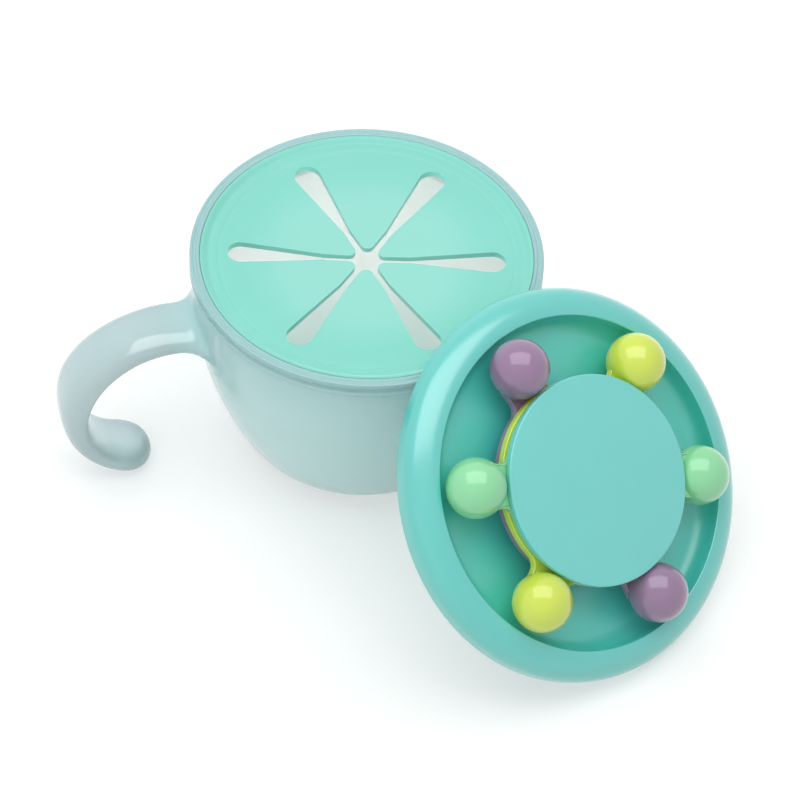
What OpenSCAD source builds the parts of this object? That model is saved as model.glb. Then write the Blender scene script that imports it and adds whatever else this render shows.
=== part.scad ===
// Toddler snack container: a handled cup with a soft petal cover held by a trap ring,
// and a bead-spinner lid that stands on its lower edge and leans on the ring.
// Units are millimetres. The cup stands on Z = 0 with its axis on Z, and its handle points to -X.

/* [Cup] */
// Radius of the collar and of the trap ring
ring_r = 49; // [44:0.1:56]
// Height of the collar's top above the floor
collar_top = 65.4; // [55:0.1:80]
// Height of the collar band
collar_t = 1.8; // [1:0.1:4]
// How far the collar stands out from the body's wall
collar_out = 0.7; // [0.3:0.1:2]
// Radius of the arc that shapes the body's side
side_arc_r = 113; // [90:1:150]
// Height of the body's widest point above the floor
side_arc_z = 60; // [50:1:70]
// Radius of the rounding between side and base
base_round = 17; // [8:0.5:20]
// Thickness of the cup's wall and floor
cup_wall = 2.2; // [1.5:0.1:3]
// Width of the collar's top, from its outer face to the mouth
mouth_w = 4.65; // [4:0.05:6]
// Height of the straight mouth below the collar's top
mouth_depth = 5.6; // [5:0.1:9]

/* [Handle] */
// Height at which the handle leaves the body
handle_z = 49.4; // [40:0.1:56]
// Angle at which the handle leaves the body
handle_rise = 9.7; // [0:0.1:20]
// Straight length at the handle's root
handle_root = 5.4; // [4:0.1:10]
// Radius of the handle's upper bend
bend_1_r = 27.6; // [22:0.1:32]
// Sweep of the handle's upper bend
bend_1_sweep = 107; // [90:1:115]
// Radius of the handle's lower bend
bend_2_r = 17.8; // [15:0.1:24]
// Sweep of the handle's lower bend
bend_2_sweep = 94; // [70:1:100]
// Thickness of the handle
handle_t = 6.5; // [5:0.1:8]
// How much thicker the handle is at its crown, on its outer face
handle_crown = 2; // [0:0.1:3]
// Width of the handle where it meets the body
handle_root_w = 25; // [18:0.1:28]
// Width of the handle at its narrow neck
handle_neck_w = 17.4; // [13:0.1:20]
// Width of the handle at its crown
handle_wide_w = 18.4; // [16:0.1:24]
// Width of the handle at its lower bend
handle_low_w = 17; // [14:0.1:22]
// Width of the handle at its free tip
handle_tip_w = 18.8; // [12:0.1:22]

/* [Trap ring] */
// Height of the trap ring's top above the collar
ring_rise = 3.3; // [2.5:0.1:5]
// Thickness of the trap ring's rim
rim_t = 1.7; // [1.2:0.1:2.5]
// Depth of the groove under the rim
rim_groove = 2.6; // [1.5:0.1:4]
// Width of the rim that frames the soft cover
rim_w = 2.75; // [2:0.05:4]
// Rounding of the rim's outer edge
rim_round = 0.6; // [0.3:0.1:0.8]
// Thickness of the skirt that plugs into the mouth
skirt_t = 1.9; // [1.4:0.1:2.5]
// Height of the shelf under the soft cover
shelf_t = 1; // [0.8:0.1:1.5]
// Wall left round the cover's lower step
step_wall = 1.4; // [1:0.1:2]
// How far the snap bead stands out from the skirt
snap_out = 0.4; // [0.2:0.05:0.6]

/* [Soft cover] */
// Width of the cover's level band inside its faint groove
flat_w = 3.1; // [2:0.1:6]
// Height of the level part below the rim's top
cover_drop = 1.2; // [0.8:0.05:2]
// How much lower the cover's middle is than its level part
cover_sink = 1; // [0:0.1:2]
// Thickness of the cover at its level part
cover_t = 1.8; // [1.2:0.1:2.5]
// Thickness of the cover at its middle
cover_mid_t = 1.4; // [1:0.1:2]
// Distance of the faint groove from the cover's edge
faint_in = 5.1; // [4:0.1:6]
// Number of petals
petals = 6; // [6]
// Turn of the first slot from +X
slot_turn = -14.9; // [-30:0.1:30]
// Distance between a slot's round end and the faint groove
slot_in = 2.5; // [1.5:0.1:5]
// Radius of a slot's round end
slot_end_r = 3.75; // [3:0.05:4.5]
// Half width of a slot where it starts to widen
slot_half_w = 1.05; // [0.6:0.05:1.5]
// Distance from the middle where a slot starts to widen
slot_widen_at = 12; // [8:0.5:18]
// Radius of a petal's tip
tip_r = 1.9; // [1:0.1:3]
// Distance of a petal's bending line from the centre of a slot's round end
hinge_in = 5.65; // [5:0.05:8]
// Gap between a petal's root and the band
petal_gap = 0.3; // [0.2:0.05:0.5]

/* [Lid] */
// How far the lid's outer wall stands out from the trap ring
lid_over = 5; // [4:0.1:8]
// Height of the lid's upright outer edge
lid_edge_h = 2.9; // [2:0.1:4]
// Width of the lid's domed ring, from its outer wall to its crest
crest_w = 8; // [7:0.1:10]
// Height of the crest above the skirt's edge
crest_h = 9.2; // [8:0.1:11]
// Wall of the lid's ring
lid_wall = 2; // [1.5:0.1:2.5]
// Height of the trough's floor top above the skirt's edge
trough_top = 3.2; // [2.8:0.1:4]
// Thickness of the trough's floor
trough_t = 2.06; // [1.6:0.02:2.4]
// Rounding between the trough's floor and its wall
trough_round = 4.4; // [3:0.1:5.5]
// Gap between the lid's inner lip and the trap ring when the lid is on
lip_gap = 0.3; // [0.15:0.05:0.6]
// Height of the lip's straight inner face
lip_h = 1; // [0.6:0.1:1.6]

/* [Lid cap and post] */
// Gap between the cap's lower edge and a bead
cap_bead_gap = 0.2; // [0.15:0.05:2]
// Thickness of the cap
cap_t = 1.7; // [1.4:0.05:2.5]
// Rounding of the cap's edges
cap_round = 0.35; // [0.2:0.05:0.6]
// Radius of the post that the spinners turn on
post_r = 6; // [4.5:0.1:8]
// Radius of the shoulder under the lowest spinner
shoulder_r = 12; // [8:0.5:16]
// Height of the shoulder above the trough's floor
shoulder_h = 4.35; // [3.8:0.05:4.8]
// Radius of the cap's stem
stem_r = 3; // [2:0.1:3.6]
// Length of the cap's stem
stem_l = 6; // [4:0.5:7]

/* [Spinners] */
// Radius of a bead
bead_r = 8.3; // [7.5:0.05:8.4]
// Gap between a bead and the trough's wall
bead_wall_gap = 0.4; // [0.2:0.05:1]
// Height of the beads' middle above the skirt's edge
bead_h = 12.65; // [12.2:0.05:13.5]
// Gap between the two lower spinner plates and a bead of another spinner
plate_bead_gap = 0.3; // [0.2:0.05:2]
// How far the upper spinner plate stays inside the lower ones
top_plate_in = 0.4; // [0:0.1:2]
// Thickness of a spinner plate
plate_t = 2.4; // [2:0.05:2.5]
// Gap between one spinner plate and the next
plate_gap = 0.2; // [0.1:0.05:0.3]
// Half width of an arm that carries a bead
arm_half_w = 6; // [4:0.1:6.5]
// Radius of the hollow curve between plate and arm
arm_fillet = 3; // [2:0.1:4]
// How far an arm reaches in under its bead
arm_under = 3; // [2:0.1:5]
// Radius of the pin that holds a bead
pin_r = 0.9; // [0.6:0.1:1]
// Turn of the purple spinner
purple_turn = 2.4; // [-20:0.1:20]
// Turn of the mint spinner
mint_turn = 60.5; // [45:0.1:75]
// Turn of the lime spinner
lime_turn = 119.8; // [105:0.1:135]

/* [Leaning lid] */
// Azimuth of the side the lid leans on
lean_azimuth = -57.3; // [-80:0.1:-30]
// Tilt of the lid from lying flat
lean_tilt = 44.7; // [40:0.1:50]
// Sideways shift of the lid along the ring
lean_shift = -2.76; // [-6:0.01:6]

/* [Fits] */
// Gap between pieces that rest on each other loosely
rest_gap = 0.3; // [0.1:0.05:0.5]
// Gap between pieces that turn on each other
turn_gap = 0.05; // [0.02:0.01:0.1]
// Gap round a pin or stem that is pressed in
press_gap = 0.02; // [0.01:0.01:0.05]

/* [Hidden] */
$fn = 96;
eps = 0.01;
slice = 360 / petals;
quarter = 90;
arc_steps = 16;
round_steps = 6;

// radii that follow the ring
mouth_r = ring_r - mouth_w;
cover_r = ring_r - rim_w - turn_gap;
faint_r = cover_r - faint_in;
cover_flat_r = faint_r - flat_w;
slot_end_at = faint_r - slot_in - slot_end_r;
petal_hinge_at = slot_end_at - hinge_in;
lid_r = ring_r + lid_over;
crest_r = lid_r - crest_w;

// body side: one big arc that a smaller rounding carries into the flat base
side_axis_r = ring_r - collar_out - side_arc_r;
collar_z = collar_top - collar_t;
base_r = side_axis_r + sqrt(pow(side_arc_r - base_round, 2) - pow(side_arc_z - base_round, 2));
base_turn = atan2(base_round - side_arc_z, base_r - side_axis_r);
mouth_z = collar_top - mouth_depth;
mouth_blend = 2.5;
collar_edge = 0.4;

// trap ring
ring_top = collar_top + ring_rise;
rim_z = ring_top - rim_t;
waist_r = ring_r - rim_groove;
skirt_r = mouth_r - turn_gap;
skirt_in_r = skirt_r - skirt_t;
seat_z = collar_top + turn_gap;
shelf_z = seat_z + shelf_t;
step_r = waist_r - step_wall;
snap_z = mouth_z + 1.7;
snap_half = 0.9;

// soft cover
cover_z = ring_top - cover_drop;
cover_mid_z = cover_z - cover_sink;
cover_step_z = cover_z - 0.3;
faint_half = 0.3;
faint_depth = 0.15;
hinge_top = cover_mid_z + cover_sink * petal_hinge_at / cover_flat_r;
hinge_t = cover_mid_t + (cover_t - cover_mid_t) * petal_hinge_at / cover_flat_r;
hinge_z = hinge_top - hinge_t / 2;
hinge_inset = 0.1;
hinge_r = hinge_t / 2 - hinge_inset;
chord_at = petal_hinge_at + hinge_r + petal_gap;

// a slot's straight side runs from its knee to where it meets the round end
slot_slope = asin((slot_end_r - slot_half_w) / (slot_end_at - slot_widen_at));
knee = turned([slot_widen_at, -slot_half_w], slice / 2);
slot_meets = turned([slot_end_at - slot_end_r * sin(slot_slope), -slot_end_r * cos(slot_slope)], slice / 2);
root_half = knee[1] + (slot_meets[1] - knee[1]) * (petal_hinge_at - knee[0]) / (slot_meets[0] - knee[0]);
tip_at = (slot_half_w + tip_r) / sin(slice / 2);

// lid stack, measured from the skirt's lower edge
trough_under = trough_top - trough_t;
trough_wall_r = crest_r - 0.4;
lip_r = ring_r + lip_gap;
skin_r = lid_r - lid_wall;
shoulder_z = trough_top + shoulder_h;
plate_z = [for (i = [0:2]) shoulder_z + turn_gap + i * (plate_t + plate_gap)];
post_top = plate_z[2] + plate_t + rest_gap;
bore_r = post_r + turn_gap;
bead_clear = 0.05;
bead_orbit = trough_wall_r - bead_wall_gap - bead_r;
plate_r = bead_orbit - bead_r - plate_bead_gap;
top_plate_r = plate_r - top_plate_in;
cap_r = bead_orbit - sqrt(pow(bead_r, 2) - pow(post_top - bead_h, 2)) - cap_bead_gap;

// the lid's lower edge stands on the floor and its trough rests on the ring's rounded edge
lean_h = lid_r * sin(lean_tilt);
ring_reach = sin(lean_tilt) * (ring_r - rim_round) + cos(lean_tilt) * (ring_top - rim_round) + rim_round;
lean_out = (ring_reach - cos(lean_tilt) * lean_h - trough_under + rest_gap) / sin(lean_tilt);

frost_blue = [0.72, 0.84, 0.86];
ring_blue = [0.66, 0.8, 0.85];
mint = [0.56, 0.88, 0.8];
turquoise = [0.49, 0.83, 0.79];
bead_purple = [0.61, 0.5, 0.64];
bead_lime = [0.82, 0.88, 0.4];
bead_mint = [0.6, 0.88, 0.7];

// a point turned about the origin
function turned(p, a) = [p[0] * cos(a) - p[1] * sin(a), p[0] * sin(a) + p[1] * cos(a)];

// points of an arc about (cx, cz) from angle a0 to a1
function arc(cx, cz, r, a0, a1, n) =
  [for (i = [0:n]) let (a = a0 + (a1 - a0) * i / n) [cx + r * cos(a), cz + r * sin(a)]];

// the body's side at a distance inside its outer face, from the base's middle up to a height
function side(inset, z_top) =
  let (
    r = side_arc_r - inset,
    top_turn = asin((z_top - side_arc_z) / r)
  )
  concat(
    [[0, inset]],
    arc(base_r, base_round, base_round - inset, -quarter, base_turn, round_steps),
    arc(side_axis_r, side_arc_z, r, base_turn, top_turn, arc_steps)
  );

module cup_outside() {
  rotate_extrude()
    polygon(concat(
      side(0, collar_z - collar_edge),
      [
        [ring_r - collar_out - collar_edge, collar_z],
        [ring_r - collar_edge, collar_z],
        [ring_r, collar_z + collar_edge],
        [ring_r, collar_top - collar_edge],
        [ring_r - collar_edge, collar_top],
        [0, collar_top]
      ]
    ));
}

module cup_inside() {
  rotate_extrude()
    polygon(concat(
      side(cup_wall, mouth_z - mouth_blend),
      [
        [mouth_r, mouth_z],
        [mouth_r, snap_z - snap_half],
        [mouth_r + snap_out, snap_z - snap_half / 3],
        [mouth_r + snap_out, snap_z + snap_half / 3],
        [mouth_r, snap_z + snap_half],
        [mouth_r, collar_top + eps],
        [0, collar_top + eps]
      ]
    ));
}

// the handle's spine: a straight root, then two bends, as [distance out, height, heading]
handle_start = side_axis_r + side_arc_r - cup_wall / 2 - 2;
root_end = [handle_start + handle_root * cos(handle_rise), handle_z + handle_root * sin(handle_rise)];
bend_1_c = root_end + bend_1_r * [sin(handle_rise), -cos(handle_rise)];
heading_1 = handle_rise - bend_1_sweep;
bend_1_end = bend_1_c + bend_1_r * [-sin(heading_1), cos(heading_1)];
bend_2_c = bend_1_end + bend_2_r * [sin(heading_1), -cos(heading_1)];
bend_1_l = bend_1_r * bend_1_sweep * PI / 180;
bend_2_l = bend_2_r * bend_2_sweep * PI / 180;
spine_l = handle_root + bend_1_l + bend_2_l;

function spine(s) =
  s < handle_root ? [handle_start + s * cos(handle_rise), handle_z + s * sin(handle_rise), handle_rise] :
  s < handle_root + bend_1_l ?
    let (h = handle_rise - bend_1_sweep * (s - handle_root) / bend_1_l)
    [bend_1_c[0] - bend_1_r * sin(h), bend_1_c[1] + bend_1_r * cos(h), h] :
  let (h = heading_1 - bend_2_sweep * (s - handle_root - bend_1_l) / bend_2_l)
  [bend_2_c[0] - bend_2_r * sin(h), bend_2_c[1] + bend_2_r * cos(h), h];

// the handle's half width along its spine, with a round free end
function free_half_w(s) =
  let (u = s / spine_l)
  lookup(u, [
    [0, handle_root_w / 2],
    [0.06, handle_root_w * 0.46],
    [0.12, (handle_neck_w + 0.6) / 2],
    [0.2, handle_neck_w / 2],
    [0.45, handle_wide_w / 2],
    [0.75, handle_low_w / 2],
    [1, handle_tip_w / 2]
  ]);
tip_len = handle_tip_w / 2;
function half_w(s) =
  spine_l - s < tip_len ?
    free_half_w(s) * sqrt(max(0.02, 1 - pow(1 - (spine_l - s) / tip_len, 2))) :
    free_half_w(s);
function half_t(s) =
  let (last = handle_t / 2)
  spine_l - s < last ?
    handle_t / 2 * sqrt(max(0.05, 1 - pow(1 - (spine_l - s) / last, 2))) :
    handle_t / 2;

// how far the outer face is raised along the spine, as a bell round the handle's crown
crown_at = 0.5;
crown_spread = 0.18;
function crown(s) = handle_crown * exp(-pow((s / spine_l - crown_at) / crown_spread, 2));

section_n = 20;
soft = 0.7;
function soften(v) = sign(v) * pow(abs(v), soft);
tip_steps = 6;
stations = concat(
  [for (i = [0:30]) (spine_l - tip_len) * i / 30],
  [for (i = [1:tip_steps]) spine_l - tip_len * (1 - sin(quarter * i / tip_steps))]
);

module handle() {
  rings = len(stations);
  points = [
    for (s = stations)
      let (c = spine(s), w = half_w(s), t = half_t(s), outer = t * (1 + 2 * crown(s) / handle_t))
      for (k = [0:section_n - 1])
        let (
          a = 360 * k / section_n,
          across = w * soften(cos(a)),
          up = (sin(a) > 0 ? outer : t) * soften(sin(a))
        )
        [-(c[0] - up * sin(c[2])), across, c[1] + up * cos(c[2])]
  ];
  sides = [
    for (i = [0:rings - 2])
      for (k = [0:section_n - 1])
        let (
          p = i * section_n + k,
          q = i * section_n + (k + 1) % section_n
        )
        each [[p, q, q + section_n], [p, q + section_n, p + section_n]]
  ];
  root_cap = [[for (k = [section_n - 1:-1:0]) k]];
  tip_cap = [[for (k = [0:section_n - 1]) (rings - 1) * section_n + k]];
  polyhedron(points = points, faces = concat(sides, root_cap, tip_cap));
}

module cup() {
  color(frost_blue)
    difference() {
      union() {
        cup_outside();
        handle();
      }
      cup_inside();
    }
}

module trap_ring() {
  color(ring_blue)
    rotate_extrude()
      polygon(concat(
        [
          [skirt_in_r, mouth_z],
          [skirt_r, mouth_z],
          [skirt_r, snap_z - snap_half],
          [skirt_r + snap_out, snap_z - snap_half / 3],
          [skirt_r + snap_out, snap_z + snap_half / 3],
          [skirt_r, snap_z + snap_half],
          [skirt_r, seat_z],
          [waist_r, seat_z],
          [waist_r, rim_z],
          [ring_r, rim_z]
        ],
        arc(ring_r - rim_round, ring_top - rim_round, rim_round, 0, quarter, round_steps),
        [
          [cover_r + turn_gap, ring_top],
          [cover_r + turn_gap, cover_step_z],
          [step_r + turn_gap, cover_step_z],
          [step_r + turn_gap, shelf_z],
          [skirt_in_r, shelf_z]
        ]
      ));
}

// half of the soft cover's section, out to its edge in the trap ring
module cover_section() {
  polygon([
    [0, cover_mid_z - cover_mid_t],
    [cover_flat_r, cover_z - cover_t],
    [skirt_in_r, shelf_z],
    [step_r, shelf_z],
    [step_r, cover_step_z],
    [cover_r, cover_step_z],
    [cover_r, ring_top - 0.2],
    [cover_r - 0.2, ring_top],
    [faint_r + faint_half, cover_z + 0.1],
    [faint_r, cover_z + 0.1 - faint_depth],
    [faint_r - faint_half, cover_z + 0.1],
    [cover_flat_r, cover_z],
    [0, cover_mid_z]
  ]);
}

module through(h0, h1) {
  translate([0, 0, h0])
    linear_extrude(h1 - h0)
      children();
}

module cover_band() {
  color(mint)
    difference() {
      rotate_extrude()
        cover_section();
      through(mouth_z, ring_top + eps)
        rotate(slot_turn)
          union() {
            circle(chord_at / cos(slice / 2), $fn = petals);
            for (i = [0:petals - 1])
              rotate(i * slice)
                translate([slot_end_at, 0])
                  circle(slot_end_r);
          }
    }
}

// one petal, pointing along +X from its rounded tip to its bending line
module petal_outline() {
  polygon(concat(
    arc(tip_at, 0, tip_r, quarter + slice / 2, 3 * quarter - slice / 2, round_steps),
    [
      [knee[0], -knee[1]],
      [petal_hinge_at, -root_half],
      [petal_hinge_at, root_half],
      knee
    ]
  ));
}

module petal(i) {
  color(mint)
    rotate([0, 0, slot_turn + (i - 0.5) * slice])
      union() {
        intersection() {
          rotate_extrude()
            cover_section();
          through(mouth_z, ring_top)
            petal_outline();
        }
        translate([petal_hinge_at, hinge_inset - root_half, hinge_z])
          rotate([-quarter, 0, 0])
            cylinder(r = hinge_r, h = 2 * (root_half - hinge_inset));
      }
}

module petal_1() { petal(1); }
module petal_2() { petal(2); }
module petal_3() { petal(3); }
module petal_4() { petal(4); }
module petal_5() { petal(5); }
module petal_6() { petal(6); }

// puts a piece drawn about the lid's own axis where the lid leans
module leaning() {
  rotate([0, 0, lean_azimuth])
    translate([lean_out, lean_shift, lean_h])
      rotate([0, lean_tilt, 0])
        children();
}

// quarter of the lid's domed ring at a distance inside its outer face
function dome(inset) =
  [
    for (i = [0:arc_steps])
      let (a = quarter * i / arc_steps)
      [crest_r + (lid_r - crest_r - inset) * cos(a), lid_edge_h + (crest_h - lid_edge_h - inset) * sin(a)]
  ];

module lid_shell() {
  under_round = trough_round + trough_t;
  round_c = trough_wall_r - trough_round;
  round_z = trough_top + trough_round;
  inner_dome = [for (p = dome(lid_wall)) if (p[0] > round_c + under_round + 0.2) p];
  color(turquoise)
    leaning()
      difference() {
        rotate_extrude()
          polygon(concat(
            [
              [0, trough_under],
              [round_c, trough_under]
            ],
            arc(round_c, round_z, under_round, -quarter, -round_steps, round_steps),
            [for (i = [len(inner_dome) - 1:-1:0]) inner_dome[i]],
            [
              [lip_r, lip_h],
              [lip_r, 0.3],
              [lip_r + 0.3, 0],
              [lid_r - 0.4, 0],
              [lid_r, 0.4]
            ],
            dome(0),
            [[trough_wall_r, crest_h - 0.4]],
            arc(round_c, round_z, trough_round, 0, -quarter, round_steps),
            [
              [shoulder_r, trough_top],
              [shoulder_r, shoulder_z],
              [post_r, shoulder_z],
              [post_r, post_top],
              [0, post_top]
            ]
          ));
        translate([0, 0, post_top - stem_l - rest_gap])
          cylinder(r = stem_r + press_gap, h = stem_l + 1);
      }
}

module lid_cap() {
  top = post_top + cap_t;
  color(turquoise)
    leaning()
      rotate_extrude()
        polygon(concat(
          [
            [0, post_top - stem_l],
            [stem_r, post_top - stem_l],
            [stem_r, post_top]
          ],
          arc(cap_r - cap_round, post_top + cap_round, cap_round, -quarter, 0, round_steps),
          arc(cap_r - cap_round, top - cap_round, cap_round, 0, quarter, round_steps),
          [[0, top]]
        ));
}

// distance of the bead's bore bottom from the lid's axis
pin_end = bead_orbit - 0.5;

// a plate with two arms, each hollowed for its bead and holding it on a pin
module spinner(turn, level, disc_r) {
  reach = bead_orbit - arm_under;
  fillet_y = arm_half_w + arm_fillet;
  fillet_x = sqrt(pow(disc_r + arm_fillet, 2) - fillet_y * fillet_y);
  pin_z = plate_z[level] + plate_t / 2;
  leaning()
    rotate([0, 0, turn])
      difference() {
        union() {
          difference() {
            through(plate_z[level], plate_z[level] + plate_t)
              union() {
                circle(disc_r);
                difference() {
                  translate([-reach, -fillet_y])
                    square([2 * reach, 2 * fillet_y]);
                  for (s = [-1, 1], t = [-1, 1])
                    translate([s * fillet_x, t * fillet_y])
                      circle(arm_fillet);
                  for (s = [-1, 1], t = [-1, 1])
                    translate([s > 0 ? fillet_x : -fillet_x - reach, t > 0 ? arm_half_w : -fillet_y - 1])
                      square([reach, arm_fillet + 1]);
                }
              }
            for (s = [-1, 1])
              translate([s * bead_orbit, 0, bead_h])
                sphere(bead_r + bead_clear);
          }
          for (s = [-1, 1])
            translate([s * (disc_r - 1), 0, pin_z])
              rotate([0, s * quarter, 0])
                cylinder(r = pin_r, h = pin_end - disc_r + 1);
        }
        translate([0, 0, plate_z[level] - 1])
          cylinder(r = bore_r, h = plate_t + 2);
      }
}

module spinner_purple() {
  color(bead_purple)
    spinner(purple_turn, 0, plate_r);
}

module spinner_lime() {
  color(bead_lime)
    spinner(lime_turn, 1, plate_r);
}

module spinner_mint() {
  color(bead_mint)
    spinner(mint_turn, 2, top_plate_r);
}

// a ball with a bore that faces the lid's axis
module bead(turn, level) {
  leaning()
    rotate([0, 0, turn])
      difference() {
        translate([bead_orbit, 0, bead_h])
          sphere(bead_r);
        translate([bead_orbit - 2 * bead_r, 0, plate_z[level] + plate_t / 2])
          rotate([0, quarter, 0])
            cylinder(r = pin_r + press_gap, h = pin_end - bead_orbit + 2 * bead_r);
      }
}

module bead_purple_1() { color(bead_purple) bead(purple_turn, 0); }
module bead_purple_2() { color(bead_purple) bead(purple_turn + 180, 0); }
module bead_lime_1() { color(bead_lime) bead(lime_turn, 1); }
module bead_lime_2() { color(bead_lime) bead(lime_turn + 180, 1); }
module bead_mint_1() { color(bead_mint) bead(mint_turn, 2); }
module bead_mint_2() { color(bead_mint) bead(mint_turn + 180, 2); }

cup();
trap_ring();
cover_band();
petal_1();
petal_2();
petal_3();
petal_4();
petal_5();
petal_6();
lid_shell();
lid_cap();
spinner_purple();
spinner_lime();
spinner_mint();
bead_purple_1();
bead_purple_2();
bead_lime_1();
bead_lime_2();
bead_mint_1();
bead_mint_2();
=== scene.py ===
"""Looks of the toddler snack container: cup with handle, trap ring, petal cover and bead-spinner lid."""

import math

import bmesh
import bpy
from mathutils import Matrix, Vector


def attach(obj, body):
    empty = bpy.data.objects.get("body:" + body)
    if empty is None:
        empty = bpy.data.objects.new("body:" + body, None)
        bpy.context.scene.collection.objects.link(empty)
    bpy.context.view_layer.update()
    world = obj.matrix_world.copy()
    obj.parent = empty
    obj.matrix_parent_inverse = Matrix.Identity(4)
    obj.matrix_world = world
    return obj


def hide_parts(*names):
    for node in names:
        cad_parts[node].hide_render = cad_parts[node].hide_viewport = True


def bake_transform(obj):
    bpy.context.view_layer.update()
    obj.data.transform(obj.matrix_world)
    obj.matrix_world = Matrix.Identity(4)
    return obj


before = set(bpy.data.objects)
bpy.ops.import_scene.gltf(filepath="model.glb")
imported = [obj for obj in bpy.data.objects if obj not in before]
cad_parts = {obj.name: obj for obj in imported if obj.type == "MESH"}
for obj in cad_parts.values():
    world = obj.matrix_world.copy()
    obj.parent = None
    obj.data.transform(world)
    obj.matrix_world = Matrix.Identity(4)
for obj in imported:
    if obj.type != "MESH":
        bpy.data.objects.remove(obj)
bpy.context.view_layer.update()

MM = 0.001

# Sizes in millimetres. The main ones are the solids' own. Small roundings, fillets, gaps and relief
# differ a little from theirs, and the cap's crown is a slight dome where their cap is flat.

# The cup, where R is a radius about Z and Z a height above the table
RING_R = 49.0
COLLAR_TOP = 65.4
COLLAR_T = 1.8
COLLAR_OUT = 0.7
COLLAR_LEAD = 1.2
SIDE_R = 113.0
SIDE_Z = 60.0
SIDE_X = RING_R - COLLAR_OUT - SIDE_R
BASE_ROUND = 17.0
WALL = 2.2
MOUTH_R = 44.35
MOUTH_DEPTH = 5.6
MOUTH_LEAD = 2.5
MOUTH_LIP = 0.5

# The handle's spine: a straight root, then bends given by their radius and sweep
HANDLE_Z = 49.4
RISE = math.radians(9.7)
ROOT = 5.4
BEND_1 = (27.6, math.radians(107))
BEND_2 = (17.8, math.radians(94))
SPINE_L = ROOT + BEND_1[0] * BEND_1[1] + BEND_2[0] * BEND_2[1]
START = SIDE_X + SIDE_R - WALL / 2 - 2

# The handle's section: widths by share of the spine, thickness, crown, and how square it is
WIDTHS = ((0, 17.4), (0.2, 17.4), (0.45, 18.4), (0.75, 17.0), (1, 18.8))
TIP_W = WIDTHS[-1][1]
HANDLE_T = 6.5
CROWN = 2.0
CROWN_AT, CROWN_SPREAD = 0.5, 0.18
SECTION_POWER = 0.7
OUTER_POWER = 0.92

# The flare where the handle leaves the cup
FLARE = 5.6
FLARE_ASIDE = 2.4
FLARE_ALONG = 0.95
FLARE_FROM = 9.0
FLARE_LAP = 0.5
FLARE_SUNK = 0.35
SWEEP_FROM = 12.0

# The trap ring. FACE_SHIFT is how far from a named radius a piece's material changes, here and in the lid.
RING_TOP = 68.7
RIM_Z = 67.0
WAIST_R = 46.4
SKIRT_R = 42.4
SKIRT_OUT_R = 44.3
SHELF_R = 45.05
SHELF_Z = 66.45
RING_GAP = 0.05
FACE_SHIFT = 0.3
CHANNEL_DEEP = 0.4

# The soft cover
COVER_R = 46.2
COVER_Z = 67.5
COVER_SINK = 1.0
COVER_FLAT_R = 38.0
COVER_T = 1.8
COVER_MID_T = 1.4
COVER_RAISE = 0.1
FAINT_R = 41.1
FAINT_DEEP = 0.06
VALLEY_R = 43.9
VALLEY_W = 0.8
VALLEY_DEEP = 0.12
UPTURN = (43.7, 45.9)
UPTURN_SHORT = 0.15

# The cover's slots and petals
PETALS = 6
SLOT_TURN = -14.9
SLOT_END_AT = 34.85
SLOT_END_R = 3.75
SLOT_HALF_W = 1.05
SLOT_WIDEN_AT = 12.0
TIP_R = 1.9
ROWS_BEND = (22.0, 33.4)
ROOT_ROWS = (39.2, 39.9, 40.5, FAINT_R)
SHEET_SOFT = 0.32

# The lid, with heights from its skirt's edge
LID_R = 54.0
LID_EDGE = 2.9
LID_WALL = 2.0
LIP_R = 49.3
EDGE_ROUND = 0.5
CREST_R = 46.0
CREST_H = 9.2
CREST_IN = 0.4
TROUGH_TOP = 3.2
TROUGH_T = 2.06
TROUGH_ROUND = 4.4
BOSS_R = 12.0
BOSS_Z = 7.55
BOSS_CUT = 0.35
BOSS_ROUND = 0.4
POST_R = 6.0
POST_GAP = 0.02
CAP_R = 28.905
CAP_Z = 15.5
CAP_T = 1.7
CAP_CROWN = 1.2

# The spinners, with heights as the lid's
PLATE_R = 28.3
LOW_PLATE_R = PLATE_R - 0.5
TOP_PLATE_R = 27.9
PLATE_T = 2.4
PLATE_Z = (7.6, 10.2, 12.8)
PLATE_SOFT = 0.35
BORE_R = 6.05
BEAD_R = 8.3
BEAD_ORBIT = 36.9
BEAD_H = 12.65
PARTING_DEEP = 0.02
PARTING_TURN = 0.02
ARM_HALF_W = 6.0
ARM_SHORT = 2.4
ARM_FILLET = 3.2

# The lid's lean: its lower edge is on the table, and its axis tilts away from upright
LEAN_AZIMUTH = -57.3
LEAN_TILT = 44.7
LEAN_OUT = 78.4925
LEAN_SHIFT = -2.76
LEAN_H = LID_R * math.sin(math.radians(LEAN_TILT))
LID = (
    Matrix.Rotation(math.radians(LEAN_AZIMUTH), 4, "Z")
    @ Matrix.Translation((LEAN_OUT, LEAN_SHIFT, LEAN_H))
    @ Matrix.Rotation(math.radians(LEAN_TILT), 4, "Y")
)

# Shading: the angles from which an edge stays a crease and is bevelled, and the scales of the
# plastics' mottling and fine grain
CREASE = math.radians(55)
BEVEL_FROM = math.radians(50)
MOTTLE = 38.0
GRAIN = 1600.0
GRAIN_DEPTH = 0.0002

# Shares of light that the handle lets through, and the distances from Z between which they change
ROOT_THROUGH, HANDLE_THROUGH = 0.42, 0.7
ROOT_SPAN = (0.048, 0.06)

# How much painted light lightens the cover's middle and where it fades, and the heights where the painted
# shade on the cup's inner floor fades
PAINTED_GLOW_SHARE = 0.28
PAINTED_GLOW_SPAN = (0.02, 0.036)
FLOOR_SHADE_SPAN = (0.002, 0.02)

# The stage: its half width in millimetres, its tone, and its glow between two distances from Z
STAGE_HALF = 3000
STAGE_TONE = (0.6, 0.61, 0.605, 1)
STAGE_GLOW = (0.43, 0.72)
STAGE_SPAN = (0.35, 1.6)

# The world's strength for rays that only light the scene, and for rays that see it
WORLD_LIGHT = (0.5, 1.0)

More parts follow.
